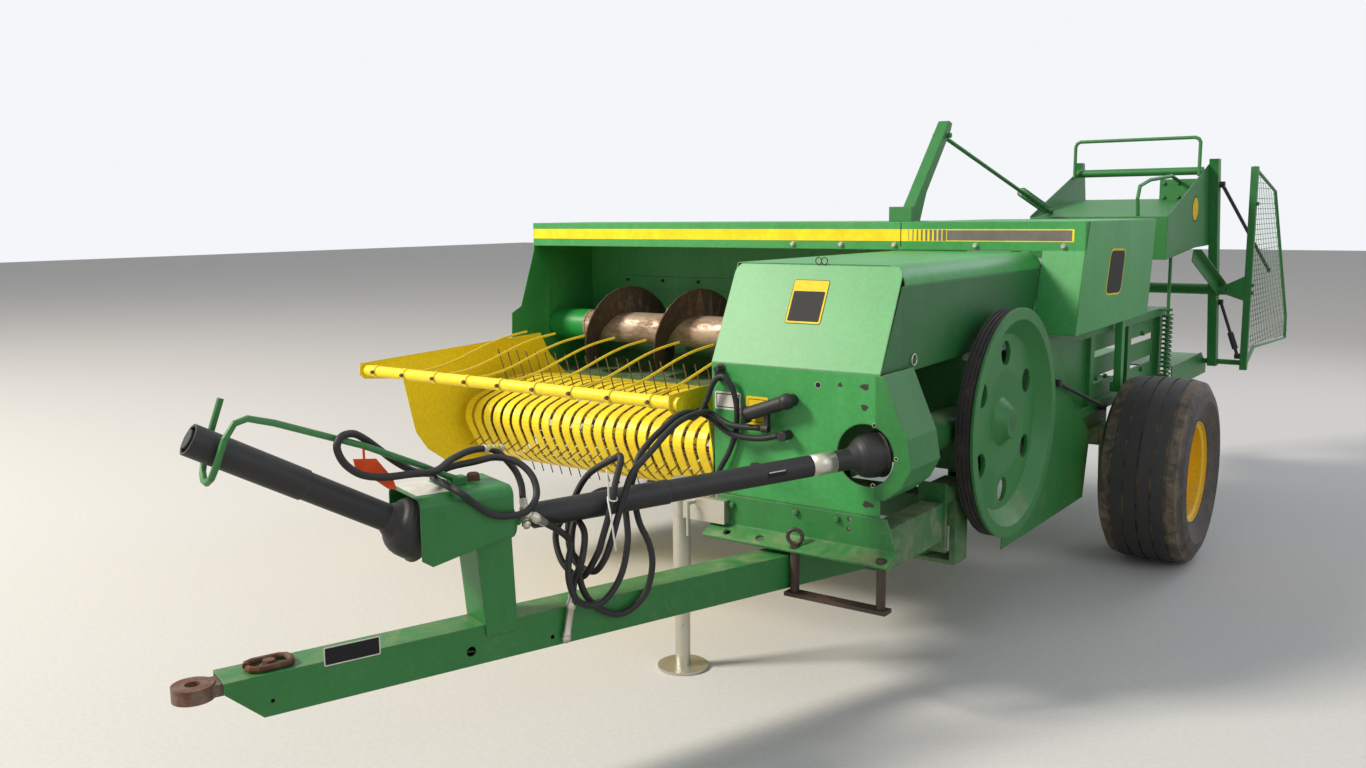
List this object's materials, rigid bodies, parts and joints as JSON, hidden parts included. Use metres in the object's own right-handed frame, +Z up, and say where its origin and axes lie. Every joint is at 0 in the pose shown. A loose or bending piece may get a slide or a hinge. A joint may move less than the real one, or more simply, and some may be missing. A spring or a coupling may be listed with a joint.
{
  "type": "square baler",
  "caption": "Pull-type small square baler with side pickup, feeder auger, flywheel, swing tongue, driveline, jack and rear bale ejector.",
  "frame": {"origin": "on the ground, under the middle of the object's outer box, cords not counted", "axes": "+X to the machine's left, +Y to the rear, +Z up; the hitch is at -Y"},
  "size_m": [3.0215, 6.6042, 1.862],
  "materials": {
    "green_paint": "gloss enamel, weathered",
    "yellow_paint": "gloss enamel, scuffed",
    "rim_yellow": "gloss enamel",
    "tyre_rubber": "dusty rubber",
    "black_guard": "worn black paint with rust",
    "bare_steel": "polished by crop, browned by rust",
    "tine_steel": "spring steel, rusted",
    "galvanised": "zinc plated",
    "belt_rubber": "grooved rubber",
    "hose_rubber": "smooth hose",
    "flag_orange": "faded plastic"
  },
  "bodies": {
    "frame": {"main_frame": "green_paint", "bale_case": "green_paint", "gearcase": "green_paint", "front_sill": "green_paint", "axle": "green_paint", "feeder_house": "green_paint", "feeder_floor": "green_paint", "box_lower_panel": "green_paint", "box_walls": "green_paint", "driveline_shield": "green_paint", "flywheel_guard": "green_paint", "tongue_pins": "bare_steel", "jack_tube": "galvanised", "feeder_lever": "green_paint", "feeder_rod": "green_paint", "tension_spring": "green_paint", "ejector_housing": "green_paint", "ejector_mast": "green_paint", "hoop_rail": "green_paint", "side_guard": "green_paint", "guard_mesh": "green_paint", "ejector_brace": "black_guard", "needle_rod": "black_guard", "panel_ports": "black_guard", "hose_arch": "hose_rubber"},
    "left_wheel": {"tyre_left": "tyre_rubber", "rim_left": "rim_yellow"},
    "right_wheel": {"tyre_right": "tyre_rubber", "rim_right": "rim_yellow"},
    "flywheel_body": {"flywheel": "green_paint", "flywheel_belt": "belt_rubber"},
    "auger_body": {"auger": "bare_steel", "auger_flight": "bare_steel"},
    "end_door": {"hood_end_door": "green_paint"},
    "front_door": {"box_upper_panel": "green_paint"},
    "top_cover": {"box_top_cover": "green_paint"},
    "pickup": {"pickup_ends": "yellow_paint", "stripper_bands": "yellow_paint"},
    "reel": {"tine_reel": "tine_steel"},
    "windguard_body": {"windguard": "yellow_paint"},
    "tongue_body": {"tongue": "green_paint", "hitch": "bare_steel", "pedestal": "green_paint", "pedestal_cover": "green_paint", "parking_hook": "green_paint", "hitch_clip": "bare_steel", "marker_flag": "flag_orange", "hose_supply": "hose_rubber", "hose_return": "hose_rubber", "hose_loops": "hose_rubber", "hose_couplers": "galvanised"},
    "driveline_yaw": {"driveline_rear": "black_guard"},
    "driveline_inner": {"driveline_slide": "black_guard"},
    "driveline_lift": {"driveline_front": "black_guard"},
    "jack": {"jack_leg": "galvanised"},
    "pan": {"ejector_pan": "bare_steel"}
  },
  "joints": [
    {"name": "left_wheel_spin", "type": "hinge", "parent": "frame", "child": "left_wheel", "pos_m": [1.33325, 0.50275, 0.39], "axis": [1, 0, 0], "continuous": true},
    {"name": "right_wheel_spin", "type": "hinge", "parent": "frame", "child": "right_wheel", "pos_m": [-1.32375, 0.50275, 0.33], "axis": [1, 0, 0], "continuous": true},
    {"name": "flywheel_spin", "type": "hinge", "parent": "frame", "child": "flywheel_body", "pos_m": [1.14625, -0.82625, 0.772], "axis": [1, 0, 0], "continuous": true},
    {"name": "auger_spin", "type": "hinge", "parent": "frame", "child": "auger_body", "pos_m": [-0.52375, -0.12625, 0.927], "axis": [1, 0, 0], "continuous": true},
    {"name": "end_door_lift", "type": "hinge", "parent": "frame", "child": "end_door", "pos_m": [1.22625, 0.19375, 1.44], "axis": [0, -1, 0], "range_deg": [0, 75]},
    {"name": "front_door_tilt", "type": "hinge", "parent": "frame", "child": "front_door", "pos_m": [0.77625, -1.63025, 1.022], "axis": [1, 0, 0], "range_deg": [0, 80]},
    {"name": "top_cover_lift", "type": "hinge", "parent": "frame", "child": "top_cover", "pos_m": [0.48325, -0.87625, 1.327], "axis": [0, -1, 0], "range_deg": [0, 80]},
    {"name": "pickup_lift", "type": "hinge", "parent": "frame", "child": "pickup", "pos_m": [-0.32375, -0.51625, 0.64], "axis": [-1, 0, 0], "range_deg": [0, 10]},
    {"name": "reel_spin", "type": "hinge", "parent": "pickup", "child": "reel", "pos_m": [-0.32375, -0.99125, 0.64], "axis": [1, 0, 0], "continuous": true},
    {"name": "windguard_lift", "type": "hinge", "parent": "pickup", "child": "windguard_body", "pos_m": [-0.32375, -1.70625, 0.892], "axis": [1, 0, 0], "range_deg": [0, 25]},
    {"name": "tongue_swing", "type": "hinge", "parent": "frame", "child": "tongue_body", "pos_m": [0.95225, -1.07625, 0.41], "axis": [0, 0, 1], "range_deg": [-9, 0], "deforming": ["hose_supply", "hose_return"]},
    {"name": "driveline_turn", "type": "hinge", "parent": "frame", "child": "driveline_yaw", "pos_m": [1.03625, -1.60625, 0.785], "axis": [0, 0, 1], "range_deg": [-12.1, 0]},
    {"name": "driveline_telescope", "type": "slide", "parent": "driveline_yaw", "child": "driveline_inner", "axis": [-0.548, -0.8331, -0.0758], "range_m": [0, 0.0638]},
    {"name": "driveline_front_lift", "type": "hinge", "parent": "tongue_body", "child": "driveline_lift", "pos_m": [0.37936, -2.72135, 0.706], "axis": [-0.9444, 0.3289, 0], "range_deg": [0, 15]},
    {"name": "jack_screw", "type": "slide", "parent": "frame", "child": "jack", "axis": [0, 0, 1], "range_m": [0, 0.3]},
    {"name": "pan_throw", "type": "hinge", "parent": "frame", "child": "pan", "pos_m": [0.84625, 2.10875, 0.664], "axis": [-1, 0, 0], "range_deg": [0, 60]}
  ],
  "couplings": [
    {"joint": "driveline_turn", "follows": "tongue_swing", "ratio": 1.333},
    {"joint": "driveline_telescope", "follows": "tongue_swing", "m_per_rad": -0.3995}
  ]
}
